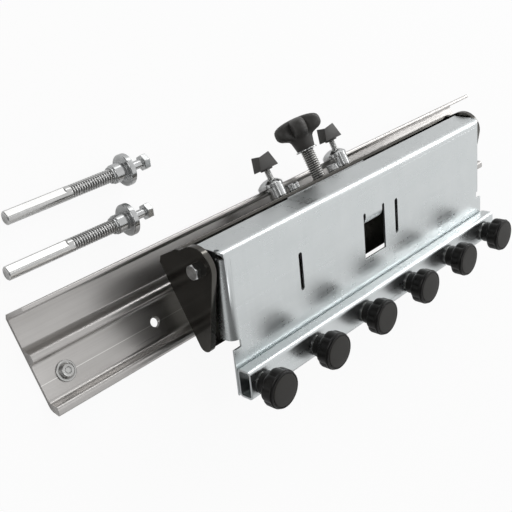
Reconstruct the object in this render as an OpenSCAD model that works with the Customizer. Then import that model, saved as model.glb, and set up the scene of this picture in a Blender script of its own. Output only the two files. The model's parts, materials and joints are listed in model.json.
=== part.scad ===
// Planer blade grinding jig: a rail, a carriage that slides along it, and a tilting blade clamp.
// X runs along the rail, Y from its foot to its lip, and Z up from the table that its back lies on.
// The origin is on the table, midway between the two holes for the posts.

/* [Rail] */
// Length of the extruded rail
rail_len = 650; // [630:2:760]
// Width of the rail's panel, lip included
rail_w = 84.1; // [83.6:0.1:90]
// Thickness of the panel
panel_t = 3.2; // [2.6:0.1:3.3]
// Height of the lip above the table
lip_h = 33.4; // [24:0.2:34]
// Thickness of the lip
lip_t = 3.9; // [2.5:0.1:5]
// How far the foot rib reaches in front of the panel
foot_reach = 7.5; // [5:0.1:9]
// Height of the foot rib
foot_h = 13.3; // [11:0.1:14]
// Height of the middle rib above the table
mid_rib_h = 10.4; // [7:0.1:14]
// Where the middle rib starts behind the foot
mid_rib_y = 39.8; // [39:0.1:44]
// Where the two holes for the posts are behind the foot, and their spacing
hole_y = 21.9; // [20:0.1:24]
post_hole_gap = 407; // [300:1:460]
// Spacing of the two stop screws
stop_gap = 600; // [580:2:620]
// Diameter and height of a stop screw's head
stop_head_d = 18; // [17.5:0.5:20]
stop_head_h = 5; // [3:0.1:6]

/* [Carriage] */
// Where the carriage stands along the rail
carriage_x = 16.3; // [-60:0.1:60]
// Thickness of its folded sheet
sheet_t = 3; // [2:0.1:3.4]
// Height of the web's underside above the table
web_z = 36.8; // [35:0.1:38]
// Outer face of the rear flange in front of the lip's edge, and the height of its top edge
rear_gap = 11.1; // [10.1:0.1:13.1]
rear_top_z = 65; // [62:0.5:66]
// Rounded corner of the ear: radius and place
ear_r = 19; // [17:0.5:22]
ear_y = 52; // [48:0.5:54]
// Slope of the ear's front edge
ear_slope = 38; // [34:0.5:42]
// How far the ear reaches in front of the foot, and its thickness
ear_reach = 18.9; // [14:0.1:22]
ear_t = 6; // [4:0.1:7]
// Length of each glide shoe, and its distance from the carriage's middle
shoe_len = 60; // [40:1:80]
shoe_x = 150; // [100:1:160]

/* [Swing plate] */
// Length of the plate, and its height along its own face
plate_len = 404; // [380:2:440]
plate_h = 134.2; // [133:0.2:140]
// Thickness of the plate
plate_t = 2; // [1.5:0.1:2.5]
// Tilt of the plate from the table
swing_tilt = 27.3; // [24:0.1:30]
// Pivot behind the rail's foot and above the table
pivot_y = 50; // [49:0.1:52]
pivot_z = 78.5; // [78:0.1:80]
// Pivot behind the plate's face and below its top
pivot_back = 23.5; // [22:0.1:25]
pivot_drop = 16.8; // [15:0.1:19]
// Depth of the top flange
top_flange = 32.4; // [28:0.2:36]
// Depth of the side flanges, and where they end above the lower edge
side_flange = 14.5; // [11:0.5:17]
flange_end = 52; // [46:0.5:60]
// Window: width, height, distance below the plate's top, and place of its middle
window_w = 34; // [28:1:36]
window_h = 43.9; // [39:0.1:45]
window_drop = 37; // [36:0.1:38]
window_x = 2; // [-4:0.1:4]
// Slots: width, length, distance below the plate's top
slot_w = 4.8; // [3:0.1:6]
slot_h = 37; // [24:0.5:44]
slot_drop = 35.7; // [28:0.1:42]
// Where the left and right slots are from the plate's middle
slot_left = -109.1; // [-120:0.1:-60]
slot_right = 38.8; // [30:0.1:60]

/* [Clamp bar and knobs] */
// Height and depth of the square tube
bar_h = 27.8; // [24:0.2:32]
bar_d = 15.4; // [14:0.1:16]
// Wall of the tube
bar_wall = 2; // [1.5:0.1:2.5]
// Distance of the first and last knobs from the plate's ends
knob_end_left = 14.9; // [12:0.1:24]
knob_end_right = 19.1; // [12:0.1:24]
// Diameter and thickness of a knob's cap
cap_d = 35; // [30:0.5:40]
cap_t = 13.7; // [11:0.1:15]
// Diameter and length of a knob's neck
neck_d = 22; // [18:0.5:25]
neck_l = 9.6; // [8:0.1:12]
// Diameter of the clamp studs
stud_d = 8; // [6:1:8]

/* [Adjusting screws] */
// Middle of the screws from the carriage's middle
screws_x = -5.9; // [-8:0.1:6]
// Star screw: diameter and height above the table
star_d = 13.4; // [12:0.1:14]
star_z = 51; // [50.6:0.1:54]
// Where the star screw's knob starts behind the foot
star_y = 104; // [102:0.5:110]
// Star knob: diameter over its lobes
star_knob_d = 50; // [44:1:56]
// Lock screws: diameter, height above the table and half their spacing
lock_d = 6; // [5:0.5:7]
lock_z = 44; // [43.5:0.1:45]
lock_gap = 49.5; // [46:0.5:54]
// Middle of the lock screws from the star screw
lock_shift = -4; // [-5:0.1:0]
// Jaw of a lock screw: diameter of its sleeve and of its disc
sleeve_d = 17; // [15:0.5:17.5]
jaw_d = 25; // [22:0.5:26]
// How far the disc hangs below the lock screw
jaw_drop = 4.8; // [3:0.1:5.5]
// Wing knobs: width at the base and at the top, thickness and height
wing_base_w = 25; // [20:0.5:30]
wing_top_w = 15; // [12:0.5:24]
wing_t = 10.6; // [8:0.1:12]
wing_h = 16.4; // [14:0.1:18]
// Half the spacing of the cap screws
cap_gap = 30.3; // [28:0.1:32]

/* [Posts] */
// Diameter of a post
post_d = 12; // [10:0.5:13]
// Length of a post's plain end, and of its thread up to the nut
post_plain = 61; // [40:1:80]
post_thread = 45; // [42:1:60]
// Hub and disc of a post's nut: diameters and lengths
nut_hub_d = 17; // [16:0.5:20]
nut_hub_l = 11.5; // [8:0.5:14]
nut_disc_d = 29; // [26:0.5:32]
nut_disc_t = 7.5; // [6:0.5:12]
// Bolt of a post: diameter and the length that shows
bolt_d = 8; // [6:1:8]
bolt_show = 13.5; // [8:0.5:16]

/* [Clearances] */
// Radial clearance of a shaft that turns in its hole
run_clear = 0.05; // [0.02:0.01:0.08]
// Gap between pieces that move past each other
gap = 0.3; // [0.2:0.05:0.4]
// Radial clearance of a bolt in a plain hole
bolt_clear = 0.25; // [0.2:0.05:0.5]

/* [Hidden] */
$fn = 64;
ids = [1, 2, 3, 4, 5, 6];
sides = [1, 2];

// Colours
aluminium = [0.72, 0.71, 0.69];
zinc = [0.80, 0.82, 0.83];
polished = [0.45, 0.45, 0.45];
bright = [0.76, 0.77, 0.78];
black = [0.12, 0.12, 0.12];
face_brown = [0.30, 0.28, 0.26];
dark_grey = [0.25, 0.25, 0.25];
white = [0.85, 0.85, 0.82];

// Rail
foot_tip_z = 10;
foot_inner = 1.1;
foot_root = 5.1;
rib_slant = 0.6;
rib_front = 6.8;
rib_back_slope = 5.1;
root_r = 2.4;
lip_bevel = 0.8;
post_hole_r = bolt_d / 2 + bolt_clear;
hole_chamfer = 1;
stop_y = hole_y + 0.5;
stop_screw_d = 8;
stop_socket = 5;
mark_x = -196;
mark_y = 64.7;
mark_r = 0.8;
mark_depth = 0.6;

// Carriage
rear_y = rail_w - rear_gap;
ear_gap = 3;
ear_in = plate_len / 2 + ear_gap;
ear_out = ear_in + ear_t;
ear_tip_r = 7;
blend = 0.02;
ear_tip = [ear_tip_r - ear_reach, web_z + ear_tip_r - blend];
ear_normal = [-sin(ear_slope), cos(ear_slope)];
ear_corner = 4;
ear_step = 4.5;
rear_in = rear_y - sheet_t;
web_front = 0.5 - ear_reach;
web_top = web_z + sheet_t;
shoe_front = foot_root + 2 * gap;
shoe_back = mid_rib_y - 2 * gap;
shoe_groove = 17;
shoe_groove_h = 6;
shoe_screw_d = 5;
shoe_screw_l = 16;
shoe_screw_gap = shoe_len / 2;

// Nut bar and its screws
bar_block_w = 2 * lock_gap + 20;
bar_block_t = 10;
bar_block_h = 20;
bar_bend_cut = ear_step - sheet_t;
cap_screw_d = 6;
cap_head_d = 11;
cap_head_h = 6.5;
cap_socket = 5;

// Pivots
pivot_d = 8;
pivot_head_h = 5.5;
hex_af = 13;
pivot_nut_t = 6.5;
spacer_d = 15;
side_gap = 0.2;

// Swing plate: heights are from its lower edge
pivot_up = plate_h - pivot_drop;
window_top = plate_h - window_drop;
window_low = window_top - window_h;
slot_top = plate_h - slot_drop;
slot_low = slot_top - slot_h;
bend_r = 7;
side_r = 8.5;
neck_cut = 9;
neck_low = 44.5;
lug_r = 13.5;
relief_r = 2.2;
relief_x = 2.4;
relief_y = 8.8;
seam = 0.5;
tab_bend_r = 12;
tab_relief = 1.8;
tab_angle = 90 - swing_tilt;
tab_drop = window_h - 1 - (tab_bend_r - plate_t / 2) * tab_angle * PI / 180;
tab_centre_y = pivot_y + sin(swing_tilt) * (tab_bend_r - pivot_back)
    + cos(swing_tilt) * (window_top - pivot_up);
tab_back_y = tab_centre_y - tab_bend_r + plate_t;

// Clamp bar and knobs: heights are along the plate, depths in front of it
bar_r = 4;
knob_gap = (plate_len - knob_end_left - knob_end_right) / (len(ids) - 1);
washer_gap = 0.15;
washer_t = 1.2;
washer_d = stud_d + 10;
washer_y = gap + bar_d + washer_gap;
neck_y = washer_y + washer_t + washer_gap;
cap_y = neck_y + neck_l;
knob_z = bar_h / 2 - 1.9;
disc_d = cap_d - 5;
disc_t = 1.2;
disc_rise = 0.4;
cap_chamfer = 1;
groove_w = 0.8;
facets = 8;
facet_depth = 0.5;
stud_end = cap_y + 4;

// Star screw
tip_r = 5;
tip_dome = 4;
tip_l = 9;
star_washer_t = 1.5;
hub_low_r = 9.4;
hub_high_r = 12;
hub_l = 13;
lobe_l = 19;
lobe_r = 8.5;
lobes = 5;
crown_h = 4;

// Lock screws
lip_out = rail_w + gap;
jaw_edge = 3;
jaw_dome = 5.6;
wing_y = 101;
wing_hub_d = 12.6;
wing_hub_l = 1.5;
wing_cover = 3;

// Posts
ring_t = 1.6;
post_gap = 0.15;
ring_s = post_plain + post_thread - ring_t - post_gap;
nut_s = post_plain + post_thread;
disc_s = nut_s + nut_hub_l;
post_l = disc_s + nut_disc_t - 1;
bolt_s = post_l + 1 + bolt_show;
bolt_head_h = 6;
bolt_in = 14;
post_chamfer = 0.8;
post_tilt = atan((nut_disc_d - post_d) / 2 / (disc_s + post_chamfer / 2));
post_flat = 1;
flat_short = 4;
flat_turn = 30;
post_ends = [[-290.7, 154], [-310.7, 113]];

// Moves a piece that is measured from the rail's foot to the part's origin
module placed() translate([0, -hole_y, 0]) children();

// Carries a piece to the carriage's middle
module on_carriage() placed() translate([carriage_x, 0, 0]) children();

// Carries a piece drawn in the plate's own frame, with its lower edge at 0, to the tilted plate
module on_swing()
    on_carriage()
    translate([0, pivot_y, pivot_z])
    rotate([swing_tilt - 90, 0, 0])
    translate([0, -pivot_back, -pivot_up])
    children();

// Cylinders along X and along Y, and a hexagonal bar along X
module along_x(r, l) rotate([0, 90, 0]) cylinder(r = r, h = l);
module along_y(r, l) rotate([-90, 0, 0]) cylinder(r = r, h = l);
module hex_x(af, l) rotate([0, 90, 0]) cylinder(r = af / 2 / cos(30), h = l, $fn = 6);

// Rounds an inner corner at the origin
module fillet(r)
    difference() {
        translate([-r / 4, -r / 4]) square(r * 1.25);
        translate([r, r]) circle(r);
    }

module rounded(w, h, r) {
    translate([r, 0]) square([w - 2 * r, h]);
    translate([0, r]) square([w, h - 2 * r]);
    for (x = [r, w - r])
        for (y = [r, h - r])
            translate([x, y]) circle(r);
}

// Extrudes an outline drawn in Y and Z along X
module across(l, start = 0) translate([start, 0, 0]) rotate([90, 0, 90]) linear_extrude(l) children();

module rail_outline() {
    rib_top = mid_rib_y + rib_slant;
    polygon([[0, 0], [rail_w, 0], [rail_w, lip_h - lip_bevel], [rail_w - lip_bevel, lip_h],
        [rail_w - lip_t + lip_bevel, lip_h], [rail_w - lip_t, lip_h - lip_bevel],
        [rail_w - lip_t, panel_t], [rib_top + rib_front + rib_back_slope, panel_t],
        [rib_top + rib_front, mid_rib_h], [rib_top, mid_rib_h], [mid_rib_y, panel_t],
        [foot_root, panel_t], [foot_inner, foot_h], [-foot_reach, foot_tip_z]]);
    translate([rail_w - lip_t, panel_t]) mirror([1, 0]) fillet(root_r);
}

module rail()
    color(aluminium)
    placed()
    difference() {
        across(rail_len, -rail_len / 2) rail_outline();
        for (side = [-1, 1]) {
            translate([side * post_hole_gap / 2, hole_y, -1]) cylinder(r = post_hole_r, h = panel_t + 2);
            translate([side * post_hole_gap / 2, hole_y, panel_t - hole_chamfer])
                cylinder(r1 = post_hole_r, r2 = post_hole_r + 2 * hole_chamfer, h = 2 * hole_chamfer);
            translate([side * stop_gap / 2, stop_y, 0.4])
                cylinder(r = stop_screw_d / 2, h = panel_t);
        }
        translate([mark_x, mark_y, panel_t - mark_depth]) cylinder(r = mark_r, h = 1);
    }

// Low dome with a flat rim, used for screw heads and jaws
module dome(d, edge, h) {
    cylinder(d = d, h = edge);
    intersection() {
        cylinder(d = d, h = edge + h);
        translate([0, 0, edge + h - (d * d / 4 + h * h) / (2 * h)])
            sphere((d * d / 4 + h * h) / (2 * h), $fn = 96);
    }
}

module stop_screws()
    color(bright)
    placed()
    for (side = [-1, 1])
        translate([side * stop_gap / 2, stop_y, panel_t])
        difference() {
            union() {
                dome(stop_head_d, stop_head_h * 0.3, stop_head_h * 0.7);
                translate([0, 0, 0.4 - panel_t]) cylinder(d = stop_screw_d, h = panel_t);
            }
            translate([0, 0, stop_head_h - 3])
                cylinder(r = stop_socket / 2 / cos(30), h = 4, $fn = 6);
        }

module ear_outline() {
    side = ear_y + ear_r - blend;
    translate([ear_y, pivot_z]) circle(ear_r);
    translate(ear_tip) circle(ear_tip_r);
    polygon([[ear_tip[0], web_z], [rear_y - ear_step, web_z], [rear_y, web_z + ear_step],
        [rear_y, rear_top_z], [side, rear_top_z + ear_corner], [side, pivot_z], [ear_y, pivot_z],
        [ear_y, pivot_z] + (ear_r - blend) * ear_normal, ear_tip + (ear_tip_r - blend) * ear_normal,
        ear_tip]);
}

module carriage_sheet() {
    for (start = [-ear_out, ear_in])
        across(ear_t, start) ear_outline();
    // The web and the rear flange are one folded sheet between the ears
    across(2 * ear_in + 2, -ear_in - 1) {
        translate([web_front, web_z]) square([rear_y - ear_step - web_front, sheet_t]);
        translate([rear_in, web_z + ear_step]) square([sheet_t, rear_top_z - web_z - ear_step]);
        translate([rear_y - ear_step, web_z + ear_step])
            intersection() {
                difference() {
                    circle(ear_step);
                    circle(ear_step - sheet_t);
                }
                translate([0, -ear_step]) square(ear_step);
            }
    }
}

// Place of a lock screw along the carriage: side is -1 or 1
function lock_at(side) = screws_x + lock_shift + side * lock_gap;

module carriage()
    color(polished)
    on_carriage()
    difference() {
        carriage_sheet();
        translate([-ear_out - 1, pivot_y, pivot_z]) along_x(pivot_d / 2 + run_clear, 2 * ear_out + 2);
        translate([screws_x, rear_in - 1, star_z]) along_y(star_d / 2 + bolt_clear, sheet_t + 2);
        for (side = [-1, 1]) {
            translate([lock_at(side), rear_in - 1, lock_z])
                along_y(lock_d / 2 + bolt_clear, sheet_t + 2);
            translate([screws_x + side * cap_gap, rear_in - 1, lock_z])
                along_y(cap_screw_d / 2 + bolt_clear, sheet_t + 2);
            for (end = [-1, 1])
                translate([side * shoe_x + end * shoe_screw_gap / 2, hole_y, web_z]) shoe_hole();
        }
    }

// Countersunk hole for a shoe's screw, and the screw itself, from the web's underside
module shoe_hole() {
    translate([0, 0, -1]) cylinder(d = shoe_screw_d, h = sheet_t + 2);
    translate([0, 0, sheet_t - shoe_screw_d / 2])
        cylinder(d1 = shoe_screw_d, d2 = shoe_screw_d * 2.2, h = shoe_screw_d / 2 * 1.2);
}

module shoe_screws()
    color(bright)
    on_carriage()
    for (side = [-1, 1])
        for (end = [-1, 1])
            translate([side * shoe_x + end * shoe_screw_gap / 2, hole_y, web_z]) {
                translate([0, 0, sheet_t - shoe_screw_l])
                    cylinder(d = shoe_screw_d, h = shoe_screw_l - 0.1);
                translate([0, 0, sheet_t - shoe_screw_d / 2])
                    cylinder(d1 = shoe_screw_d, d2 = shoe_screw_d * 2, h = shoe_screw_d / 2 - 0.1);
            }

module glide_shoes()
    color(white)
    on_carriage()
    for (side = [-1, 1])
        difference() {
            translate([side * shoe_x - shoe_len / 2, shoe_front, panel_t + gap])
                cube([shoe_len, shoe_back - shoe_front, web_z - panel_t - gap]);
            translate([side * shoe_x - shoe_len / 2 - 1, hole_y - shoe_groove / 2, 0])
                cube([shoe_len + 2, shoe_groove, panel_t + gap + shoe_groove_h]);
            for (end = [-1, 1])
                translate([side * shoe_x + end * shoe_screw_gap / 2, hole_y, web_z + sheet_t - shoe_screw_l])
                    cylinder(d = shoe_screw_d, h = shoe_screw_l);
        }

module nut_bar()
    color(bright)
    on_carriage()
    difference() {
        translate([screws_x - bar_block_w / 2, rear_in - bar_block_t, web_top + gap])
            cube([bar_block_w, bar_block_t, bar_block_h]);
        // Clears the inside of the bend between the web and the rear flange
        across(bar_block_w + 2, screws_x - bar_block_w / 2 - 1)
            translate([rear_in, web_top + gap]) circle(r = bar_bend_cut, $fn = 4);
        translate([screws_x, rear_in - bar_block_t - 1, star_z])
            along_y(star_d / 2 + run_clear, bar_block_t + 2);
        for (side = [-1, 1]) {
            translate([lock_at(side), rear_in - bar_block_t - 1, lock_z])
                along_y(lock_d / 2 + run_clear, bar_block_t + 2);
            translate([screws_x + side * cap_gap, rear_in - bar_block_t - 1, lock_z])
                along_y(cap_screw_d / 2, bar_block_t + 2);
        }
    }

module cap_screws()
    color(bright)
    on_carriage()
    for (side = [-1, 1])
        translate([screws_x + side * cap_gap, rear_y, lock_z])
        difference() {
            union() {
                along_y(cap_head_d / 2, cap_head_h);
                translate([0, -sheet_t - bar_block_t + 1, 0])
                    along_y(cap_screw_d / 2, sheet_t + bar_block_t);
            }
            translate([0, cap_head_h - 3, 0])
                rotate([-90, 0, 0]) cylinder(r = cap_socket / 2 / cos(30), h = 4, $fn = 6);
        }

// Places a piece drawn from the ear's outer face inwards on both ears
module at_pivots()
    on_carriage()
    for (side = [0, 1])
        mirror([side, 0, 0])
        translate([-ear_out, pivot_y, pivot_z])
        children();

module pivot_bolts()
    color(bright)
    at_pivots() {
        translate([-pivot_head_h, 0, 0])
            intersection() {
                hex_x(hex_af, pivot_head_h);
                rotate([0, 90, 0]) cylinder(r1 = hex_af / 2 * 0.95, r2 = hex_af * 0.95, h = pivot_head_h);
            }
        along_x(pivot_d / 2, ear_t + ear_gap + plate_t + side_gap + pivot_nut_t + 1.5);
    }

module pivot_spacers()
    color(bright)
    at_pivots()
    translate([ear_t, 0, 0])
    difference() {
        along_x(spacer_d / 2, ear_gap - side_gap);
        translate([-1, 0, 0]) along_x(pivot_d / 2, ear_gap + 2);
    }

module pivot_nuts()
    color(bright)
    at_pivots()
    translate([ear_t + ear_gap + plate_t + side_gap, 0, 0])
    difference() {
        hex_x(hex_af, pivot_nut_t);
        translate([-1, 0, 0]) along_x(pivot_d / 2, pivot_nut_t + 2);
    }

// Quarter of a ring: the outer and inner radius of a bend about the origin, facing -X and -Y
module bend(r, t)
    intersection() {
        difference() {
            circle(r);
            circle(r - t);
        }
        translate([-r, -r]) square(r);
    }

module side_flange_outline() {
    top = plate_h - plate_t / 2;
    translate([side_r, flange_end]) square([side_flange - side_r, top - flange_end]);
    translate([side_r, pivot_up - lug_r]) square([pivot_back - side_r, top - pivot_up + lug_r]);
    translate([pivot_back, pivot_up]) circle(lug_r);
}

module tab_outline()
    translate([tab_bend_r, window_top]) {
        intersection() {
            difference() {
                circle(tab_bend_r);
                circle(tab_bend_r - plate_t);
            }
            polygon([[0, 0], [0, 1], [-2 * tab_bend_r, 1], [-2 * tab_bend_r, -tab_bend_r],
                -2 * tab_bend_r * [cos(tab_angle), sin(tab_angle)]]);
        }
        rotate(tab_angle) translate([-tab_bend_r, -tab_drop]) square([plate_t, tab_drop + 0.1]);
    }

module plate_sheet() {
    half = plate_len / 2;
    flat_top = plate_h - bend_r;
    translate([-half, 0, 0]) cube([plate_len, plate_t, neck_low]);
    translate([neck_cut - half, 0, 0]) cube([plate_len - 2 * neck_cut, plate_t, flange_end + 1]);
    translate([side_r - half, 0, flange_end])
        cube([plate_len - 2 * side_r, plate_t, flat_top - flange_end]);
    for (side = [0, 1])
        mirror([side, 0, 0]) {
            translate([side_r - half, side_r, flange_end])
                linear_extrude(flat_top - flange_end) bend(side_r, plate_t);
            across(plate_t, -half) side_flange_outline();
        }
    // The top bend and flange run the whole length, rounded like the side bends at both ends
    intersection() {
        across(plate_len, -half) {
            translate([0, flat_top - seam]) square([plate_t, 2 * seam]);
            translate([bend_r, flat_top]) mirror([0, 1]) bend(bend_r, plate_t);
            translate([bend_r - seam, plate_h - plate_t]) square([top_flange - bend_r + seam, plate_t]);
        }
        translate([-half, 0, 0]) linear_extrude(plate_h + 1)
            rounded(plate_len, top_flange + 2 * side_r, side_r);
    }
}

module swing_plate()
    color(zinc)
    on_swing() {
        difference() {
            plate_sheet();
            translate([window_x, 0, 0]) {
                translate([-window_w / 2, -1, window_low])
                    cube([window_w, plate_t + 2, window_top - window_low]);
                for (side = [-1, 1]) {
                    translate([side * (window_w / 2 - tab_relief), -1, window_top + tab_relief])
                        along_y(tab_relief, plate_t + 2);
                    translate([side * (window_w / 2 - tab_relief) - tab_relief, -1, window_top - 1])
                        cube([2 * tab_relief, plate_t + 2, tab_relief + 1]);
                }
            }
            for (x = [slot_left, slot_right])
                translate([x, 0, 0]) {
                    translate([-slot_w / 2, -1, slot_low + slot_w / 2])
                        cube([slot_w, plate_t + 2, slot_top - slot_low - slot_w]);
                    for (z = [slot_low + slot_w / 2, slot_top - slot_w / 2])
                        translate([0, -1, z]) along_y(slot_w / 2, plate_t + 2);
                }
            for (side = [-1, 1])
                translate([side * (plate_len / 2 - relief_x), relief_y, plate_h - plate_t - 2 * relief_r])
                    cylinder(r = relief_r, h = plate_t + 2 * relief_r + 1);
            translate([-ear_out, pivot_back, pivot_up]) along_x(pivot_d / 2 + run_clear, 2 * ear_out);
            at_knobs() translate([0, -plate_t - 1, 0]) along_y(stud_d / 2, plate_t + 2);
        }
        across(window_w - 4 * tab_relief, window_x - window_w / 2 + 2 * tab_relief) tab_outline();
    }

// Middle of one knob along the plate
function knob_at(i) = knob_end_left - plate_len / 2 + knob_gap * (i - 1);

// Places a piece that points out of the plate, drawn along +Y, at one knob or at all of them
module at_knob(i) translate([knob_at(i), 0, knob_z]) rotate([180, 0, 0]) children();
module at_knobs() for (i = ids) at_knob(i) children();

module clamp_studs()
    color(bright)
    on_swing()
    at_knobs()
    translate([0, -plate_t, 0])
    along_y(stud_d / 2, plate_t + stud_end);

module clamp_bar()
    color(zinc)
    on_swing()
    difference() {
        across(plate_len, -plate_len / 2)
            translate([-gap - bar_d, 0])
            difference() {
                rounded(bar_d, bar_h, bar_r);
                translate([bar_wall, bar_wall])
                    rounded(bar_d - 2 * bar_wall, bar_h - 2 * bar_wall, bar_r - bar_wall);
            }
        at_knobs() along_y(stud_d / 2 + 2 * bolt_clear, bar_d + 2);
    }

module clamp_washer(i)
    color(bright)
    on_swing()
    at_knob(i)
    translate([0, washer_y, 0])
    difference() {
        along_y(washer_d / 2, washer_t);
        translate([0, -1, 0]) along_y(stud_d / 2 + bolt_clear, washer_t + 2);
    }

// Half outline of a knob, from its axis outwards, with its height from the neck's seat
module knob_outline() {
    cap = cap_d / 2;
    top = neck_l + cap_t;
    difference() {
        polygon([[0, 0], [neck_d / 2 - 0.6, 0], [neck_d / 2, 0.6], [neck_d / 2, neck_l - 1],
            [neck_d / 2 + 1, neck_l], [cap - 1, neck_l], [cap, neck_l + 1], [cap, top - cap_chamfer],
            [cap - cap_chamfer, top], [0, top]]);
        translate([disc_d / 2, top - 1]) square([groove_w, 2]);
    }
}

module clamp_knob(i)
    color(black)
    on_swing()
    at_knob(i)
    translate([0, neck_y, 0])
    rotate([-90, 0, 0])
    difference() {
        intersection() {
            rotate_extrude() knob_outline();
            linear_extrude(neck_l + cap_t + 1)
                difference() {
                    circle(cap_d / 2 + 1);
                    for (f = [1 : facets])
                        rotate(f * 360 / facets)
                            translate([cap_d / 2 - facet_depth, -cap_d / 4]) square([3, cap_d / 2]);
                }
        }
        translate([0, 0, -1]) cylinder(r = stud_d / 2 + run_clear, h = neck_l + cap_t - disc_t - 0.5);
        translate([0, 0, neck_l + cap_t - disc_t]) cylinder(d = disc_d, h = disc_t + 1);
    }

module knob_disc(i)
    color(face_brown)
    on_swing()
    at_knob(i)
    translate([0, cap_y + cap_t - disc_t, 0])
    along_y(disc_d / 2, disc_t + disc_rise);

// Star screw: its round nose rests on the tab of the swing plate
module star_screw()
    color(dark_grey)
    on_carriage()
    translate([screws_x, tab_back_y + gap, star_z]) {
        translate([0, tip_l + 1, 0]) rotate([90, 0, 0]) dome(2 * tip_r, tip_l + 1 - tip_dome, tip_dome);
        translate([0, tip_l, 0]) along_y(star_d / 2, star_y + hub_l - tab_back_y - gap - tip_l);
    }

module star_washer()
    color(bright)
    on_carriage()
    translate([screws_x, star_y - star_washer_t - washer_gap, star_z])
    difference() {
        along_y(star_d / 2 + 4, star_washer_t);
        translate([0, -1, 0]) along_y(star_d / 2 + run_clear, star_washer_t + 2);
    }

module star_outline()
    for (k = [1 : lobes])
        rotate(k * 360 / lobes + 18) {
            translate([star_knob_d / 2 - lobe_r, 0]) circle(lobe_r);
            translate([0, -lobe_r * 0.8]) square([star_knob_d / 2 - lobe_r, lobe_r * 1.6]);
        }

module star_knob()
    color(dark_grey)
    on_carriage()
    translate([screws_x, star_y, star_z])
    rotate([-90, 0, 0])
    difference() {
        union() {
            cylinder(r1 = hub_low_r, r2 = hub_high_r, h = hub_l);
            translate([0, 0, hub_l])
                intersection() {
                    linear_extrude(lobe_l) star_outline();
                    dome(star_knob_d + 2, lobe_l - crown_h, crown_h);
                }
        }
        translate([0, 0, -1]) cylinder(d = star_d, h = hub_l + 1);
    }

// Places a piece of a lock screw at its axis, on the outer face of the rear flange
module at_lock(side)
    on_carriage()
    translate([lock_at(2 * side - 3), rear_y, lock_z])
    children();

module lock_jaw(side)
    color(bright)
    at_lock(side)
    difference() {
        union() {
            translate([0, gap, 0]) along_y(sleeve_d / 2, lip_out + jaw_edge - rear_y - gap);
            translate([0, lip_out - rear_y, -jaw_drop])
                rotate([-90, 0, 0]) dome(jaw_d, jaw_edge, jaw_dome);
        }
        translate([0, -1, 0]) along_y(lock_d / 2 + run_clear, lip_out + jaw_edge + jaw_dome - rear_y + 2);
    }

module wing_screw(side)
    color(bright)
    at_lock(side)
    translate([0, -sheet_t - bar_block_t + 1, 0])
    along_y(lock_d / 2, wing_y + wing_h - wing_cover - rear_y + sheet_t + bar_block_t - 1);

module wing_knob(side)
    color(dark_grey)
    at_lock(side)
    translate([0, wing_y - rear_y, 0])
    rotate([-90, 0, 0])
    difference() {
        union() {
            cylinder(d = wing_hub_d, h = wing_hub_l);
            // The grip is a block whose two ends slope in towards its top
            translate([0, wing_t / 2, 0])
                rotate([90, 0, 0])
                linear_extrude(wing_t)
                polygon([[-wing_base_w / 2, wing_hub_l - 0.1], [wing_base_w / 2, wing_hub_l - 0.1],
                    [wing_top_w / 2, wing_h], [-wing_top_w / 2, wing_h]]);
        }
        translate([0, 0, -1]) cylinder(d = lock_d, h = wing_h - wing_cover + 1);
    }

// Lays a piece drawn along X from a post's free end on the table
module on_post(side)
    placed()
    translate([post_ends[side - 1][0], post_ends[side - 1][1], post_d / 2 * cos(post_tilt)])
    rotate([0, -post_tilt, 0])
    children();

// Round bar along X with a chamfer at its start
module chamfered_bar(r, l) {
    rotate([0, 90, 0]) cylinder(r1 = r - post_chamfer, r2 = r, h = post_chamfer);
    translate([post_chamfer, 0, 0]) along_x(r, l - post_chamfer);
}

module post_rod(side)
    color(bright)
    on_post(side)
    difference() {
        along_x(post_d / 2, post_l);
        rotate([-flat_turn, 0, 0])
            translate([-1, -post_d, post_d / 2 - post_flat])
                cube([post_plain - flat_short + 1, 2 * post_d, post_d]);
        translate([post_l - bolt_in, 0, 0]) along_x(bolt_d / 2, bolt_in + 1);
    }

module post_ring(side)
    color(bright)
    on_post(side)
    translate([ring_s, 0, 0])
    difference() {
        along_x(post_d / 2 + 1.5, ring_t);
        translate([-1, 0, 0]) along_x(post_d / 2 + run_clear, ring_t + 2);
    }

module post_nut(side)
    color(bright)
    on_post(side)
    translate([nut_s, 0, 0])
    difference() {
        union() {
            chamfered_bar(nut_hub_d / 2, nut_hub_l + 1);
            translate([nut_hub_l, 0, 0]) chamfered_bar(nut_disc_d / 2, nut_disc_t - 2);
            translate([nut_hub_l + nut_disc_t - 2, 0, 0])
                rotate([0, 90, 0]) cylinder(d1 = nut_disc_d, d2 = nut_disc_d - 8, h = 2);
        }
        translate([-1, 0, 0]) along_x(post_d / 2 + run_clear, nut_hub_l + nut_disc_t + 2);
    }

module post_bolt(side)
    color(bright)
    on_post(side) {
        translate([post_l - bolt_in + 1, 0, 0]) along_x(bolt_d / 2, bolt_s - post_l + bolt_in - 1);
        translate([bolt_s, 0, 0]) hex_x(hex_af, bolt_head_h);
    }

rail();
stop_screws();
carriage();
glide_shoes();
shoe_screws();
nut_bar();
cap_screws();
pivot_bolts();
pivot_spacers();
pivot_nuts();
swing_plate();
clamp_studs();
clamp_bar();
star_washer();
star_screw();
star_knob();
for (i = ids) {
    clamp_washer(i);
    clamp_knob(i);
    knob_disc(i);
}
for (i = sides) {
    lock_jaw(i);
    wing_screw(i);
    wing_knob(i);
    post_rod(i);
    post_ring(i);
    post_nut(i);
    post_bolt(i);
}
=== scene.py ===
import json
import math
import bpy
import bmesh
from mathutils import Euler, Matrix, Vector
from mathutils.bvhtree import BVHTree


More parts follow.
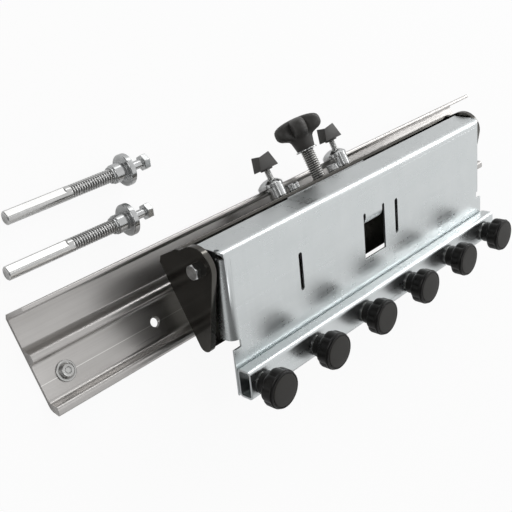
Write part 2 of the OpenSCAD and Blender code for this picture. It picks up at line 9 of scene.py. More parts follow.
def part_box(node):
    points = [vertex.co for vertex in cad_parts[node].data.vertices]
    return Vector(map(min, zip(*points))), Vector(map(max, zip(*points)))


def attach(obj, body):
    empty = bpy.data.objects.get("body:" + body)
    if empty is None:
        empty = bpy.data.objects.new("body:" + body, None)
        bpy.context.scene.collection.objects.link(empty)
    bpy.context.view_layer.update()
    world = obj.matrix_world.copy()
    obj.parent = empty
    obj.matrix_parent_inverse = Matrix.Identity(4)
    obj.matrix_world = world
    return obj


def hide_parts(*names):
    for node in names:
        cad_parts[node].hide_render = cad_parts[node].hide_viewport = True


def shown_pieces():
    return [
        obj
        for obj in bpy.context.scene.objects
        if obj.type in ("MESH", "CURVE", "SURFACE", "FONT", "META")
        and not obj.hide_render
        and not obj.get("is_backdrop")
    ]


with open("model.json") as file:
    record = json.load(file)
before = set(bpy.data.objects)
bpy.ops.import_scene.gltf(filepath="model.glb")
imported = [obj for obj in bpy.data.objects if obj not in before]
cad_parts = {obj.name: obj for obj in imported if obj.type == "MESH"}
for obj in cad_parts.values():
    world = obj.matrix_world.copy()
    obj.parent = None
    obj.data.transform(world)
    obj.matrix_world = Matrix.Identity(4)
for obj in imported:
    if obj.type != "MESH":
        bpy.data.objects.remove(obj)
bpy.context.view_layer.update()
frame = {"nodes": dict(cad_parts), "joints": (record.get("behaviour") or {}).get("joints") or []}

MM = 0.001
# Sizes of the part, in mm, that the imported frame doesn't name
HOLE_GAP = 407.0
PANEL_T = 3.2
RAIL_DOT = (-196.0, 42.8)
PLATE_LEN = 404.0
SLOTS = (-109.1, 38.8)
SLOT_UP = 80.0
scene = bpy.context.scene
scene.view_settings.view_transform = "Standard"

# ---------------------------------------------------------------- image points Places in the
# photograph's 512 frame.
IMAGE = 512
POINTS = {
    "object_left": (1.0, None),
    "object_right": (511.5, None),
    "object_top": (None, 94.5),
    "object_bottom": (None, 418.7),
    "knob_1": (286.1, 390.8),
    "knob_3": (388.2, 318.5),
    "knob_5": (469.2, 259.5),
    "plate_corner": (241.5, 395.5),
    "bar_corner": (251.0, 401.5),
    "stop_screw": (67.0, 370.5),
    "post_hole": (155.0, 322.0),
    "rail_dot": (140.0, 275.0),
    "pivot_head": (194.5, 271.0),
    "slot_left": (301.2, 271.0),
    "slot_right": (396.2, 215.2),
    "scribe": (111.0, 347.7),
    "post_1_end": (5.0, 219.0),
    "post_2_end": (6.0, 274.0),
    "star_knob_top": (None, 110.0),
}

# ---------------------------------------------------------------- camera
CAMERA_PLACE = (-0.63060, 0.06775, 0.67010)
CAMERA_TURN = (16.742, -37.305, -32.380)
CAMERA_LENS = 63.19
CAMERA_SHIFT = (0.0, 0.0)
SENSOR = 36.0


def make_camera():
    data = bpy.data.cameras.new("camera")
    data.sensor_fit = "AUTO"
    data.sensor_width = SENSOR
    data.lens = CAMERA_LENS
    data.shift_x, data.shift_y = CAMERA_SHIFT
    data.clip_start, data.clip_end = 0.01, 50.0
    camera = bpy.data.objects.new("camera", data)
    camera.location = CAMERA_PLACE
    camera.rotation_euler = Euler([math.radians(a) for a in CAMERA_TURN], "XYZ")
    scene.collection.objects.link(camera)
    scene.camera = camera
    return camera


CAMERA = make_camera()
bpy.context.view_layer.update()


def image_ray(name):
    """Start and direction, in the part's frame, of the ray through a named image point."""
    x, y = POINTS[name]
    shift_x, shift_y = CAMERA_SHIFT
    ray = Vector((x - IMAGE / 2 + shift_x * IMAGE, IMAGE / 2 - y + shift_y * IMAGE,
                  -IMAGE * CAMERA_LENS / SENSOR))
    turn = CAMERA.matrix_world.to_3x3()
    return CAMERA.matrix_world.translation, (turn @ ray).normalized()


def on_surface(name, piece):
    """Where a named image point lies on a finished piece; a miss takes the place nearest the ray."""
    shape = piece.evaluated_get(bpy.context.evaluated_depsgraph_get())
    bm = bmesh.new()
    bm.from_mesh(shape.to_mesh())
    shape.to_mesh_clear()
    bm.transform(piece.matrix_world)
    tree = BVHTree.FromBMesh(bm)
    start, ray = image_ray(name)
    place = tree.ray_cast(start, ray)[0]
    if place is None:
        nearest = min(bm.verts, key=lambda v: (v.co - start).cross(ray).length)
        place = nearest.co.copy()
    bm.free()
    return place


def image_place(point):
    """Where a point of the part lands in the photograph's frame."""
    local = CAMERA.matrix_world.inverted() @ Vector(point)
    scale = IMAGE * CAMERA_LENS / SENSOR
    shift_x, shift_y = CAMERA_SHIFT
    return (IMAGE / 2 - shift_x * IMAGE + scale * local.x / -local.z,
            IMAGE / 2 + shift_y * IMAGE - scale * local.y / -local.z)


# ---------------------------------------------------------------- node helpers
class Nodes:
    """A material's node tree, with short calls for the nodes that are used here."""

    def __init__(self, name):
        self.material = bpy.data.materials.new(name)
        self.material.use_nodes = True
        self.tree = self.material.node_tree
        self.shader = self.tree.nodes["Principled BSDF"]
        self.place = self.add("ShaderNodeTexCoord").outputs["Object"]

    def add(self, kind, **values):
        node = self.tree.nodes.new(kind)
        for key, value in values.items():
            setattr(node, key, value)
        return node

    def link(self, source, target):
        self.tree.links.new(source, target)

    def scaled(self, scale):
        node = self.add("ShaderNodeMapping")
        node.inputs["Scale"].default_value = scale
        self.link(self.place, node.inputs["Vector"])
        return node.outputs["Vector"]

    def noise(self, scale, detail=3.0, rough=0.5, stretch=(1, 1, 1)):
        node = self.add("ShaderNodeTexNoise")
        self.link(self.scaled(stretch), node.inputs["Vector"])
        node.inputs["Scale"].default_value = scale
        node.inputs["Detail"].default_value = detail
        node.inputs["Roughness"].default_value = rough
        return node.outputs["Fac"]

    def fit(self, value, low, high, from_low=0.3, from_high=0.7):
        node = self.add("ShaderNodeMapRange")
        self.link(value, node.inputs["Value"])
        node.inputs["From Min"].default_value = from_low
        node.inputs["From Max"].default_value = from_high
        node.inputs["To Min"].default_value = low
        node.inputs["To Max"].default_value = high
        return node.outputs["Result"]

    def mix_colour(self, factor, first, second):
        node = self.add("ShaderNodeMix", data_type="RGBA")
        self.link(factor, node.inputs["Factor"])
        node.inputs["A"].default_value = (*first, 1)
        node.inputs["B"].default_value = (*second, 1)
        self.link(node.outputs["Result"], self.shader.inputs["Base Color"])
        return node

    def add_up(self, first, second):
        node = self.add("ShaderNodeMath", operation="ADD")
        self.link(first, node.inputs[0])
        self.link(second, node.inputs[1])
        return node.outputs[0]

    def bump(self, height, strength, distance):
        node = self.add("ShaderNodeBump")
        self.link(height, node.inputs["Height"])
        node.inputs["Strength"].default_value = strength
        node.inputs["Distance"].default_value = distance
        self.link(node.outputs["Normal"], self.shader.inputs["Normal"])

    def set(self, **values):
        for key, value in values.items():
            self.shader.inputs[key.replace("_", " ")].default_value = value


# Grains are pairs of a noise scale and a stretch; a small number in the stretch draws them out along
# that axis. Distances in the materials are in metres.
ALONG = (0.03, 1, 1)
UPRIGHT = (1, 0.03, 0.03)
FINE_GRAINS = ((900.0, (1, 1, 1)),)
RAIL_GRAINS = ((900.0, (0.006, 1, 1)),)
# How dark the painted shade in thread grooves is, as a share of the dark colour
GROOVE_SHADE = 0.07
SCRIBE_HALF = 0.0003
SCRIBE_COLOUR = (0.86, 0.85, 0.83)


def grained(n, slow, grains, rough, strength, depth):
    """Roughness and bump from slow changes and from fine grains."""
    total = slow
    for scale, stretch in grains:
        total = n.add_up(total, n.noise(scale, 2.0, 0.5, stretch))
    centre, spread = 0.5 * (len(grains) + 1), 0.35
    gloss = n.fit(total, rough[0], rough[1], centre - spread, centre + spread)
    n.link(gloss, n.shader.inputs["Roughness"])
    n.bump(total, strength, depth)


def metal(name, dark, light, rough, grains=FINE_GRAINS, depth=0.00001, blotch=18.0, strength=0.25):
    """Metal with slow changes of colour and gloss and fine grains."""
    n = Nodes(name)
    n.set(Metallic=1.0)
    slow = n.noise(blotch, 4.0, 0.6)
    n.mix_colour(n.fit(slow, 0.0, 1.0), dark, light)
    grained(n, slow, grains, rough, strength, depth)
    return n.material


def thread_metal(name, dark, light, rough):
    """Metal with painted shade in a thread's grooves, which the meshes mark."""
    n = Nodes(name)
    n.set(Metallic=1.0)
    mark = n.add("ShaderNodeAttribute", attribute_name="groove").outputs["Fac"]
    slow = n.noise(120.0, 3.0, 0.6)
    mix = n.mix_colour(n.fit(slow, 0.0, 1.0), dark, light)
    # Painted shade: the colour darkens towards the bottom of each groove
    deep = n.add("ShaderNodeMix", data_type="RGBA")
    n.link(n.fit(mark, 0.0, 0.85, 0.4, 0.9), deep.inputs["Factor"])
    n.link(mix.outputs["Result"], deep.inputs["A"])
    deep.inputs["B"].default_value = (*[c * GROOVE_SHADE for c in dark], 1)
    n.link(deep.outputs["Result"], n.shader.inputs["Base Color"])
    grained(n, slow, FINE_GRAINS, rough, strength=0.05, depth=0.000004)
    return n.material


def rail_metal(name, dark, light, rough):
    """Extruded aluminium: lines along the rail, and one scribed line, which make_rail puts in place."""
    n = Nodes(name)
    n.set(Metallic=1.0)
    slow = n.noise(14.0, 4.0, 0.6, (0.5, 1, 1))
    lines = n.noise(420.0, 3.0, 0.6, (0.004, 1, 1))
    tone = n.add_up(slow, n.fit(lines, -0.05, 0.05, 0.35, 0.65))
    mix = n.mix_colour(n.fit(tone, 0.0, 1.0), dark, light)
    axes = n.add("ShaderNodeSeparateXYZ")
    n.link(n.place, axes.inputs[0])
    near = n.add("ShaderNodeMath", operation="COMPARE")
    n.link(axes.outputs["Y"], near.inputs[0])
    near.name = "scribe"
    near.inputs[2].default_value = SCRIBE_HALF
    scribe = n.add("ShaderNodeMix", data_type="RGBA")
    n.link(near.outputs[0], scribe.inputs["Factor"])
    n.link(mix.outputs["Result"], scribe.inputs["A"])
    scribe.inputs["B"].default_value = (*SCRIBE_COLOUR, 1)
    n.link(scribe.outputs["Result"], n.shader.inputs["Base Color"])
    grained(n, slow, RAIL_GRAINS, rough, strength=0.12, depth=0.00001)
    return n.material


def plastic(name, dark, light, rough, shine=0.5, grain=1400.0, depth=0.00004, strength=0.35):
    """Moulded plastic with a fine pebbled grain and slow changes of gloss."""
    n = Nodes(name)
    n.set(Specular_IOR_Level=shine)
    slow = n.noise(45.0, 3.0, 0.55)
    n.mix_colour(n.fit(slow, 0.0, 1.0), dark, light)
    n.link(n.fit(slow, rough[0], rough[1]), n.shader.inputs["Roughness"])
    n.bump(n.noise(grain, 2.0, 0.6), strength, depth)
    return n.material


MATERIALS = {
    "rail_aluminium": rail_metal("rail_aluminium", (0.50, 0.485, 0.47), (0.64, 0.625, 0.61), (0.26, 0.38)),
    "carriage_steel": metal("carriage_steel", (0.085, 0.082, 0.075), (0.125, 0.12, 0.11), (0.11, 0.18),
                            ((500.0, UPRIGHT),)),
    "plate_zinc": metal("plate_zinc", (0.665, 0.70, 0.705), (0.725, 0.755, 0.76), (0.262, 0.348),
                        ((420.0, ALONG), (420.0, UPRIGHT)), depth=0.0000016, blotch=22.0, strength=0.1),
    "bright_zinc": metal("bright_zinc", (0.60, 0.61, 0.61), (0.72, 0.73, 0.73), (0.14, 0.24), blotch=90.0),
    "thread_dark": thread_metal("thread_dark", (0.55, 0.545, 0.53), (0.66, 0.655, 0.64), (0.22, 0.32)),
    "thread_zinc": thread_metal("thread_zinc", (0.72, 0.72, 0.71), (0.82, 0.82, 0.81), (0.14, 0.24)),
    "screw_steel": metal("screw_steel", (0.50, 0.50, 0.49), (0.64, 0.64, 0.63), (0.28, 0.38), blotch=160.0),
    "knob_black": plastic("knob_black", (0.010, 0.0095, 0.009), (0.016, 0.015, 0.014), (0.26, 0.36), 0.3),
    "disc_brown": plastic("disc_brown", (0.022, 0.020, 0.017), (0.030, 0.028, 0.024), (0.42, 0.54), 0.4),
    "knob_grey": plastic("knob_grey", (0.050, 0.048, 0.045), (0.070, 0.067, 0.063), (0.36, 0.50)),
    "shoe_plastic": plastic("shoe_plastic", (0.62, 0.62, 0.58), (0.72, 0.72, 0.68), (0.40, 0.52)),
}


# ---------------------------------------------------------------- mesh helpers
# CAD meshes are rounded so: points within WELD metres are one, faces within FLAT degrees are joined,
# edges under SHARP degrees stay, and a rounding takes at most ROOM of the narrower face beside it.
WELD = 0.000002
FLAT = 0.6
SHARP = 24
ROOM = 0.42


def finish_piece(name, bm, body, slot, nodes, angle=32.0, look=None):
    """Turns a bmesh in the part's frame into a shaded piece that rides on a body and replaces nodes."""
    bmesh.ops.recalc_face_normals(bm, faces=bm.faces)
    mesh = bpy.data.meshes.new(name)
    bm.to_mesh(mesh)
    bm.free()
    mesh.shade_smooth()
    mesh.set_sharp_from_angle(angle=math.radians(angle))
    mesh.materials.append(MATERIALS[look or slot])
    piece = bpy.data.objects.new(name, mesh)
    scene.collection.objects.link(piece)
    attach(piece, body)
    if nodes:
        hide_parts(*nodes)
    return piece


def cad_mesh(node):
    """A welded copy of a CAD node's mesh, with its flat faces joined up."""
    bm = bmesh.new()
    bm.from_mesh(frame["nodes"][node].data)
    bmesh.ops.remove_doubles(bm, verts=bm.verts, dist=WELD)
    bmesh.ops.dissolve_limit(bm, angle_limit=math.radians(FLAT), verts=bm.verts, edges=bm.edges)
    return bm


def face_width(face, edge):
    """How far a face reaches from one of its edges."""
    start = edge.verts[0].co
    line = (edge.verts[1].co - start).normalized()
    return max((v.co - start).cross(line).length for v in face.verts)


def refined(node, body, slot, width, segments=2, along=None, small=1.0, look=None):
    """Replaces a CAD node by a copy with edges rounded by a width in metres.

    Where an axis is given, edges that don't run along it are rounded by a small share of the width.
    """
    bm = cad_mesh(node)
    weight = bm.edges.layers.float.new("bevel_weight_edge")
    for edge in bm.edges:
        if len(edge.link_faces) != 2 or edge.calc_face_angle(0.0) < math.radians(SHARP):
            continue
        line = (edge.verts[0].co - edge.verts[1].co).normalized()
        share = 1.0 if along is None or abs(line.dot(along)) > 0.999 else small
        if share == 0.0:
            continue
        room = ROOM * min(face_width(face, edge) for face in edge.link_faces) / width
        edge[weight] = min(share, room)
    piece = finish_piece(node + "_shape", bm, body, slot, [node], 40.0, look)
    bevel = piece.modifiers.new("edges", "BEVEL")
    bevel.limit_method = "WEIGHT"
    bevel.width = width
    bevel.segments = segments
    bevel.use_clamp_overlap = False
    bevel.harden_normals = False
    normals = piece.modifiers.new("normals", "WEIGHTED_NORMAL")
    normals.keep_sharp = True
    return piece


def skinned(bm, rings):
    """Joins rings of vertices by faces, and caps both ends."""
    count = len(rings[0])
    for low, high in zip(rings, rings[1:]):
        for j in range(count):
            k = (j + 1) % count
            bm.faces.new((low[j], low[k], high[k], high[j]))
    bm.faces.new(rings[0][::-1])
    bm.faces.new(rings[-1])
    return bm


def turned(profile, count, shape=None):
    """A turned piece about +Z from (height, radius) pairs in mm.

    shape(angle, height, radius) may give another radius.
    """
    bm = bmesh.new()
    rings = []
    for height, radius in profile:
        ring = []
        for j in range(count):
            a = 2 * math.pi * j / count
            r = shape(a, height, radius) if shape else radius
            ring.append(bm.verts.new(Vector((r * math.cos(a), r * math.sin(a), height)) * MM))
        rings.append(ring)
    return skinned(bm, rings)


def threaded(start, end, radius, depth, pitch, count, steps):
    """A threaded bar about +Z, in mm: its radius follows the helix, and it fades at both ends.

    The groove attribute says how deep in the groove each vertex lies, for thread_metal.
    """
    rows = max(2, round((end - start) / pitch * steps))
    bm = bmesh.new()
    mark = bm.verts.layers.float.new("groove")
    rings = []
    for i in range(rows + 1):
        height = start + (end - start) * i / rows
        fade = max(0.0, min(1.0, (height - start) / pitch, (end - height) / pitch))
        ring = []
        for j in range(count):
            a = 2 * math.pi * j / count
            groove = fade * (0.5 + 0.5 * math.cos(2 * math.pi * (height / pitch - j / count))) ** 1.5
            r = radius - depth * groove
            vert = bm.verts.new(Vector((r * math.cos(a), r * math.sin(a), height)) * MM)
            vert[mark] = groove
            ring.append(vert)
        rings.append(ring)
    return skinned(bm, rings)


def placed(bm, origin, axis, side=Vector((1, 0, 0))):
    """Moves a bmesh that was drawn about +Z to an origin, with +Z along an axis."""
    z = Vector(axis).normalized()
    x = (side - z * side.dot(z)).normalized()
    y = z.cross(x)
    matrix = Matrix((x, y, z)).transposed().to_4x4()
    matrix.translation = origin
    bm.transform(matrix)
    return bm


def joined(*parts):
    """Several bmeshes as one."""
    result = parts[0]
    for part in parts[1:]:
        mesh = bpy.data.meshes.new("joining")
        part.to_mesh(mesh)
        part.free()
        result.from_mesh(mesh)
        bpy.data.meshes.remove(mesh)
    return result


def joint(name):
    """A point on a joint's axis and the axis's direction, from the frame."""
    found = [j for j in frame["joints"] if j["name"] == name][0]
    return Vector(found.get("pos_m", (0, 0, 0))), Vector(found["axis"]).normalized()


# ---------------------------------------------------------------- rail
def make_rail():
    rail = refined("rail", "base", "rail_aluminium", 0.0032, 5, Vector((1, 0, 0)), 0.0)
    bpy.context.view_layer.update()
    scribe = MATERIALS["rail_aluminium"].node_tree.nodes["scribe"]
    scribe.inputs[1].default_value = on_surface("scribe", rail).y
    stop_screws()


def stop_screws():
    """Button heads with a flange, a groove and a hexagonal socket."""
    low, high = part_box("stop_screws")
    radius = (high.y - low.y) / 2 / MM
    tall = high.z / MM - PANEL_T
    head = [(-2.8, 3.9), (0.0, 3.9), (0.02, radius - 0.3), (0.3, radius), (1.0, radius),
            (1.3, radius - 0.4), (1.3, 7.4), (1.0, 7.2), (1.0, 6.9), (1.4, 6.8), (2.6, 6.5), (3.8, 5.9),
            (4.6, 5.1), (tall, 4.1), (tall, 3.1), (tall - 0.3, 2.85)]
    socket = [(tall - 0.28, 2.84), (tall - 0.28, 2.5), (2.2, 2.5), (2.2, 0.1)]
    parts = []
    for x in (low.x + radius * MM, high.x - radius * MM):
        start = Vector((x, (low.y + high.y) / 2, high.z - tall * MM))
        parts.append(placed(turned(head, 72), start, (0, 0, 1)))
        parts.append(placed(turned(socket, 6), start, (0, 0, 1)))
    finish_piece("stop_screws_shape", joined(*parts), "base", "bright_zinc", ["stop_screws"], 34.0,
                 "screw_steel")


# ---------------------------------------------------------------- carriage
def make_carriage():
    refined("carriage", "carriage", "carriage_steel", 0.0004, 2)
    refined("glide_shoes", "carriage", "shoe_plastic", 0.0006, 2)
    refined("shoe_screws", "carriage", "bright_zinc", 0.0002, 1)
    refined("nut_bar", "carriage", "bright_zinc", 0.0004, 2)
    refined("pivot_bolts", "carriage", "bright_zinc", 0.00025, 2)
    refined("pivot_spacers", "carriage", "bright_zinc", 0.0002, 1)
    refined("pivot_nuts", "carriage", "bright_zinc", 0.0002, 1)
    cap_screws()


def cap_screws():
    """Socket cap screws with a knurled head."""
    low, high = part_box("cap_screws")
    radius = (high.z - low.z) / 2 / MM
    length = (high.y - low.y) / MM
    head, teeth, tooth = 6.5, 28, 0.35

    def knurl(a, height, r):
        inside = 0.6 < height < head - 0.8 and r > radius - 0.5
        return r - tooth * abs(math.cos(teeth * a / 2)) if inside else r

    profile = [(0, radius - 0.4), (0.5, radius), (0.7, radius), (head - 0.9, radius),
               (head - 0.7, radius), (head, radius - 0.8), (head, 2.9), (head - 2.8, 2.6)]
    parts = []
    for x in (low.x + radius * MM, high.x - radius * MM):
        start = Vector((x, high.y - head * MM, (low.z + high.z) / 2))
        parts.append(placed(turned(profile, 112, knurl), start, (0, 1, 0)))
        thread = threaded(0, length - head + 0.5, radius=3.0, depth=0.45, pitch=1.0, count=24, steps=6)
        parts.append(placed(thread, Vector((x, low.y, start.z)), (0, 1, 0)))
    finish_piece("cap_screws_shape", joined(*parts), "carriage", "bright_zinc", ["cap_screws"])


# ---------------------------------------------------------------- swing plate and clamp
def make_swing():
    refined("swing_plate", "swing", "plate_zinc", 0.0003, 2, Vector((1, 0, 0)), 0.0)
    refined("clamp_bar", "bar", "plate_zinc", 0.0017, 4, Vector((1, 0, 0)), 0.1)
    length, behind = 40, 0.029
    studs = []
    for i in range(1, 7):
        origin, axis = joint(f"knob_{i}_turn")
        stud = threaded(0, length, radius=4.0, depth=0.6, pitch=1.25, count=24, steps=6)
        studs.append(placed(stud, origin - axis * behind, axis))
    finish_piece("clamp_studs_shape", joined(*studs), "swing", "bright_zinc", ["clamp_studs"], 60.0,
                 "thread_zinc")
    for i in range(1, 7):
        clamp_knob(i)


def clamp_knob(i):
    """Hand knob with a fluted cap, a groove and an inset face disc, and its thrust washer."""
    origin, axis = joint(f"knob_{i}_turn")
    behind = 0.0098
    seat = origin - axis * behind
    neck, cap, radius = 9.6, 13.7, 17.5
    flutes, flute_depth = 8, 1.1
    top = neck + cap
    profile = [(0.0, 10.0), (0.4, 10.7), (1.0, 10.9), (5.6, 10.9), (7.2, 11.2), (8.2, 12.2), (8.9, 13.8),
               (9.7, 15.6), (10.8, 16.9), (12.4, radius), (14.6, radius), (17.0, radius), (19.0, radius),
               (20.2, radius), (20.9, 17.4), (21.2, 17.1), (21.4, 16.5), (21.7, 16.3), (22.0, 16.5),
               (22.6, 16.5), (23.1, 16.3), (top, 15.8), (top, 15.3), (top - 0.9, 15.15), (top - 0.9, 4.0)]

    def flute(a, height, r):
        rise = min(1.0, max(0.0, (height - 6.8) / 3.5)) * min(1.0, max(0.0, (21.0 - height) / 1.2))
        return r - flute_depth * rise * (1.0 - abs(math.cos(flutes * a / 2)) ** 0.8)

    bm = placed(turned(profile, 128, flute), seat, axis)
    finish_piece(f"clamp_knob_{i}_shape", bm, f"knob_{i}", "knob_black", [f"clamp_knob_{i}"], 42.0)
    face = [(top - 0.85, 14.7), (top + 0.05, 14.7), (top + 0.25, 14.5), (top + 0.34, 13.9),
            (top + 0.37, 9.0), (top + 0.38, 4.0), (top + 0.38, 0.4)]
    bm = placed(turned(face, 96), seat, axis)
    finish_piece(f"knob_disc_{i}_shape", bm, f"knob_{i}", "disc_brown", [f"knob_disc_{i}"], 50.0)
    # Painted shade: the washer gets the darker thread_dark finish instead of bright zinc, because it sits
    # in the knob's shadow
    refined(f"clamp_washer_{i}", f"knob_{i}_collar", "thread_dark", 0.0002, 2)


# ---------------------------------------------------------------- star screw
def make_star():
    low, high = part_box("star_screw")
    origin, axis = joint("star_turn")
    length = (high.y - low.y) / MM
    nose_end = 9.0
    nose = [(0.0, 1.2), (0.35, 2.5), (1.0, 3.7), (2.2, 4.6), (4.0, 5.0), (nose_end, 5.0)]
    start = Vector((origin.x, low.y, origin.z))
    thread = threaded(nose_end, length, radius=6.7, depth=1.1, pitch=2.2, count=56, steps=10)
    bm = joined(placed(thread, start, axis), placed(turned(nose, 48), start, axis))
    finish_piece("star_screw_shape", bm, "star", "thread_dark", ["star_screw"], 60.0)
    refined("star_washer", "star_collar", "bright_zinc", 0.0003, 2)
    # Height, radius between the lobes and radius at their tips
    profile = [(0.0, 9.0, 9.0), (0.5, 9.4, 9.4), (5.0, 10.2, 10.2), (10.0, 11.2, 11.4),
               (12.0, 11.6, 13.0), (13.4, 11.9, 16.5), (14.6, 12.2, 20.4), (16.2, 12.6, 23.0),
               (18.4, 12.9, 24.6), (21.0, 13.1, 25.0), (24.0, 13.1, 24.9), (26.6, 12.9, 24.0),
               (28.4, 12.4, 22.0), (29.8, 11.6, 18.8), (30.9, 10.2, 14.6), (31.6, 8.0, 10.0),
               (31.95, 5.0, 5.6), (32.0, 1.0, 1.0)]
    reach = {height: (core, lobe) for height, core, lobe in profile}
    count, first = 5, math.radians(18)

    def lobes(a, height, r):
        core, lobe = reach[height]
        wave = 0.5 + 0.5 * math.cos(count * (a - first))
        return core + (lobe - core) * wave ** 0.6

    bm = turned([(height, core) for height, core, lobe in profile], 160, lobes)
    placed(bm, Vector((origin.x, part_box("star_knob")[0].y, origin.z)), axis)
    finish_piece("star_knob_shape", bm, "star", "knob_grey", ["star_knob"], 50.0)


# ---------------------------------------------------------------- lock screws
def make_locks():
    for k in (1, 2):
        refined(f"lock_jaw_{k}", f"jaw_{k}", "bright_zinc", 0.0004, 2)
        origin, axis = joint(f"wing_{k}_turn")
        low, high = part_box(f"wing_screw_{k}")
        length = (high.y - low.y) / MM
        thread = threaded(0, length, radius=3.0, depth=0.4, pitch=1.0, count=28, steps=6)
        bm = placed(thread, Vector((origin.x, low.y, origin.z)), axis)
        finish_piece(f"wing_screw_{k}_shape", bm, f"wing_{k}", "bright_zinc", [f"wing_screw_{k}"], 60.0,
                     "thread_zinc")
        wing_knob(k)


def wing_knob(k):
    """Thumb knob: a block with sloping ends and a slightly twisted top, on a short hub."""
    origin, axis = joint(f"wing_{k}_turn")
    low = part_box(f"wing_knob_{k}")[0]
    # Half lengths at the foot and the top, half thickness, and the heights of foot and top corners
    base, top, thick = 12.5, 7.5, 5.3
    foot, tall, short = 1.4, 16.4, 14.0
    grip = bmesh.new()
    lower = [(-base, -thick, foot), (base, -thick, foot), (base, thick, foot), (-base, thick, foot)]
    upper = [(-top, -thick, short), (top, -thick, tall), (top, thick, short), (-top, thick, tall)]
    ring_low = [grip.verts.new(Vector(p) * MM) for p in lower]
    ring_high = [grip.verts.new(Vector(p) * MM) for p in upper]
    for j in range(4):
        m = (j + 1) % 4
        grip.faces.new((ring_low[j], ring_low[m], ring_high[m], ring_high[j]))
    grip.faces.new(ring_low[::-1])
    grip.faces.new((ring_high[0], ring_high[1], ring_high[2]))
    grip.faces.new((ring_high[0], ring_high[2], ring_high[3]))
    bmesh.ops.recalc_face_normals(grip, faces=grip.faces)
    bmesh.ops.bevel(grip, geom=grip.edges[:], offset=0.0006, segments=2, affect="EDGES", profile=0.6)
    hub = turned([(0.0, 5.6), (0.4, 6.1), (1.0, 6.3), (1.9, 6.3)], 48)
    bm = placed(joined(hub, grip), Vector((origin.x, low.y, origin.z)), axis)
    finish_piece(f"wing_knob_{k}_shape", bm, f"wing_{k}", "knob_grey", [f"wing_knob_{k}"], 40.0)


# ---------------------------------------------------------------- posts
def make_posts():
    """Bars with a flat on the plain end and a thread on the rest, and their rings, nuts and bolts."""
    radius, nut_place = 6.0, 0.106
    plain, thread_end = 61.0, 126.0
    # The flat's depth, its end along the bar, and its direction about the bar as in the CAD
    flat, flat_end, turn = 1.0, 57.0, math.radians(30)
    up = Vector((0, math.sin(turn), math.cos(turn)))

    def bar(a, height, r):
        y = r * math.sin(a)
        in_flat = height < flat_end and y > r - flat
        return (r - flat) / math.sin(a) if in_flat else r

    profile = [(0.0, radius - 0.8), (0.25, radius - 0.5), (0.8, radius), (2.0, radius),
               (flat_end - 0.1, radius), (flat_end + 0.1, radius), (plain + 0.6, radius)]
    for k in (1, 2):
        origin, back = joint(f"post_{k}_nut_turn")
        axis = -back
        start = origin - axis * nut_place
        side = up.cross(axis)
        thread = threaded(plain, thread_end, radius, depth=0.95, pitch=2.5, count=56, steps=10)
        shank = turned(profile, 120, bar)
        bm = joined(placed(thread, start, axis, side), placed(shank, start, axis, side))
        finish_piece(f"post_rod_{k}_shape", bm, f"post_{k}", "bright_zinc", [f"post_rod_{k}"], 30.0,
                     "thread_zinc")
        refined(f"post_ring_{k}", f"post_{k}_collar", "bright_zinc", 0.0003, 2)
        refined(f"post_nut_{k}", f"post_{k}_nut", "bright_zinc", 0.0004, 2)
        refined(f"post_bolt_{k}", f"post_{k}", "bright_zinc", 0.0005, 2)


# ---------------------------------------------------------------- stage
def make_floor():
    """A matt floor that takes shadows and mostly shows as white to the camera."""
    half, below, white_share = 20.0, 0.0003, 0.93
    mesh = bpy.data.meshes.new("floor")
    corners = [(-half, -half, 0), (half, -half, 0), (half, half, 0), (-half, half, 0)]
    mesh.from_pydata(corners, [], [(0, 1, 2, 3)])
    floor = bpy.data.objects.new("floor", mesh)
    floor.location.z = -below
    scene.collection.objects.link(floor)
    material = bpy.data.materials.new("floor")
    material.use_nodes = True
    tree = material.node_tree
    tree.nodes.clear()
    plain = tree.nodes.new("ShaderNodeBsdfDiffuse")
    plain.inputs["Color"].default_value = (0.92, 0.92, 0.92, 1)
    white = tree.nodes.new("ShaderNodeEmission")
    white.inputs["Color"].default_value = (1, 1, 1, 1)
    path = tree.nodes.new("ShaderNodeLightPath")
    share = tree.nodes.new("ShaderNodeMath")
    share.operation = "MULTIPLY"
    share.inputs[1].default_value = white_share
    tree.links.new(path.outputs["Is Camera Ray"], share.inputs[0])
    mix = tree.nodes.new("ShaderNodeMixShader")
    tree.links.new(share.outputs[0], mix.inputs[0])
    tree.links.new(plain.outputs[0], mix.inputs[1])
    tree.links.new(white.outputs[0], mix.inputs[2])
    out = tree.nodes.new("ShaderNodeOutputMaterial")
    tree.links.new(mix.outputs[0], out.inputs[0])
    mesh.materials.append(material)
    floor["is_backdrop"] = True


def softbox(name, place, aim, size, watts):
    """A white rectangular lamp that faces a point."""
    data = bpy.data.lights.new(name, "AREA")
    data.shape = "RECTANGLE"
    data.size, data.size_y = size
    data.energy = watts
    lamp = bpy.data.objects.new(name, data)
    lamp.location = place
    lamp.rotation_euler = (Vector(aim) - Vector(place)).to_track_quat("-Z", "Y").to_euler()
    scene.collection.objects.link(lamp)


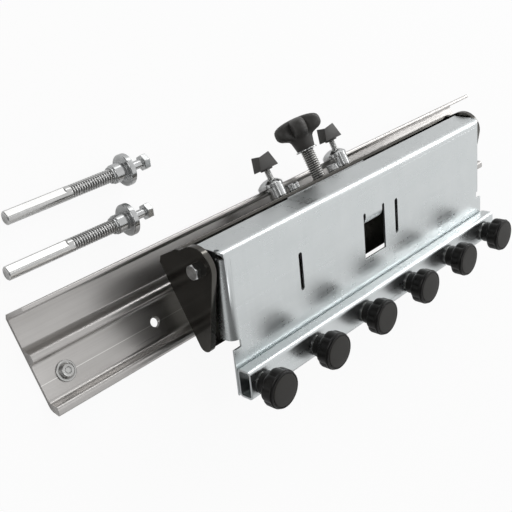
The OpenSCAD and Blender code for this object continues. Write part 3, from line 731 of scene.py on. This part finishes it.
def make_light():
    """A room that is bright towards +X, dim towards -X and white to the camera, with four softboxes."""
    world = bpy.data.worlds.new("world")
    scene.world = world
    world.use_nodes = True
    tree = world.node_tree
    shade = tree.nodes["Background"]
    towards = tree.nodes.new("ShaderNodeTexCoord").outputs["Generated"]
    axes = tree.nodes.new("ShaderNodeSeparateXYZ")
    tree.links.new(towards, axes.inputs[0])
    ramp = tree.nodes.new("ShaderNodeMapRange")
    ramp.inputs["From Min"].default_value = -0.1
    ramp.inputs["From Max"].default_value = 0.6
    ramp.inputs["To Min"].default_value = 0.16
    ramp.inputs["To Max"].default_value = 0.86
    tree.links.new(axes.outputs["X"], ramp.inputs["Value"])
    grey = tree.nodes.new("ShaderNodeCombineColor")
    for channel in ("Red", "Green", "Blue"):
        tree.links.new(ramp.outputs["Result"], grey.inputs[channel])
    path = tree.nodes.new("ShaderNodeLightPath")
    mix = tree.nodes.new("ShaderNodeMix")
    mix.data_type = "RGBA"
    mix.inputs["B"].default_value = (1, 1, 1, 1)
    tree.links.new(grey.outputs[0], mix.inputs["A"])
    tree.links.new(path.outputs["Is Camera Ray"], mix.inputs["Factor"])
    tree.links.new(mix.outputs["Result"], shade.inputs["Color"])
    softbox("top", (-0.2, -0.3, 1.6), (0, 0, 0), (0.7, 0.5), 2.5)
    softbox("strip", (1.0, 0.6, 0.75), (0, 0, 0.05), (1.3, 0.2), 4.5)
    softbox("left", (-1.5, 0.5, 0.9), (0, 0, 0), (0.8, 0.6), 2.5)
    softbox("back", (0.3, 1.5, 0.9), (0, 0, 0.05), (1.2, 0.5), 2)


# ---------------------------------------------------------------- points
def finished_places(*pieces):
    """The finished vertices of some pieces, in the part's frame."""
    depsgraph = bpy.context.evaluated_depsgraph_get()
    places = []
    for piece in pieces:
        shape = piece.evaluated_get(depsgraph)
        mesh = shape.to_mesh()
        places += [shape.matrix_world @ v.co for v in mesh.vertices]
        shape.to_mesh_clear()
    return places


def farthest(node, direction):
    """The vertex of a CAD node that lies farthest along a direction."""
    return max((v.co for v in frame["nodes"][node].data.vertices), key=lambda p: p.dot(direction)).copy()


def image_edge(name, pick):
    """Where the vertex of a finished piece that pick chooses, such as the leftmost, lands in the image."""
    return pick(image_place(p) for p in finished_places(bpy.data.objects[name]))


def feature_places():
    """Where each named feature lands in the photograph's frame."""
    out = joint("knob_1_turn")[1]
    along = Vector((1, 0, 0))
    up = out.cross(along)
    plate = farthest("swing_plate", -along - 10 * up + 0.1 * out)
    pivot = joint("swing_tilt")[0]
    stop_low, stop_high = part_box("stop_screws")
    head = (stop_high.y - stop_low.y) / 2
    places = {
        "plate_corner": plate,
        "bar_corner": farthest("clamp_bar", -along - up + out),
        "stop_screw": Vector((stop_low.x + head, (stop_low.y + stop_high.y) / 2, stop_high.z)),
        "post_hole": Vector((-HOLE_GAP / 2, 0, PANEL_T)) * MM,
        "rail_dot": Vector((*RAIL_DOT, PANEL_T)) * MM,
        "pivot_head": Vector((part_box("pivot_bolts")[0].x, pivot.y, pivot.z)),
        "slot_left": plate + (along * (PLATE_LEN / 2 + SLOTS[0]) + up * SLOT_UP) * MM,
        "slot_right": plate + (along * (PLATE_LEN / 2 + SLOTS[1]) + up * SLOT_UP) * MM,
        "scribe": on_surface("scribe", bpy.data.objects["rail_shape"]),
    }
    for i in (1, 3, 5):
        low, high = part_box(f"knob_disc_{i}")
        places[f"knob_{i}"] = (low + high) / 2
    return {name: image_place(place) for name, place in places.items()}


def write_points():
    """Where each named thing lands in the photograph's frame, from the shown pieces."""
    shown = [image_place(p) for p in finished_places(*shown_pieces())]
    found = feature_places()
    found["object_left"] = min(shown)
    found["object_right"] = max(shown)
    found["object_top"] = min(shown, key=lambda p: p[1])
    found["object_bottom"] = max(shown, key=lambda p: p[1])
    found["post_1_end"] = image_edge("post_rod_1_shape", min)
    found["post_2_end"] = image_edge("post_rod_2_shape", min)
    found["star_knob_top"] = image_edge("star_knob_shape", lambda places: min(places, key=lambda p: p[1]))


make_rail()
make_carriage()
make_swing()
make_star()
make_locks()
make_posts()
make_floor()
make_light()
bpy.context.view_layer.update()

write_points()
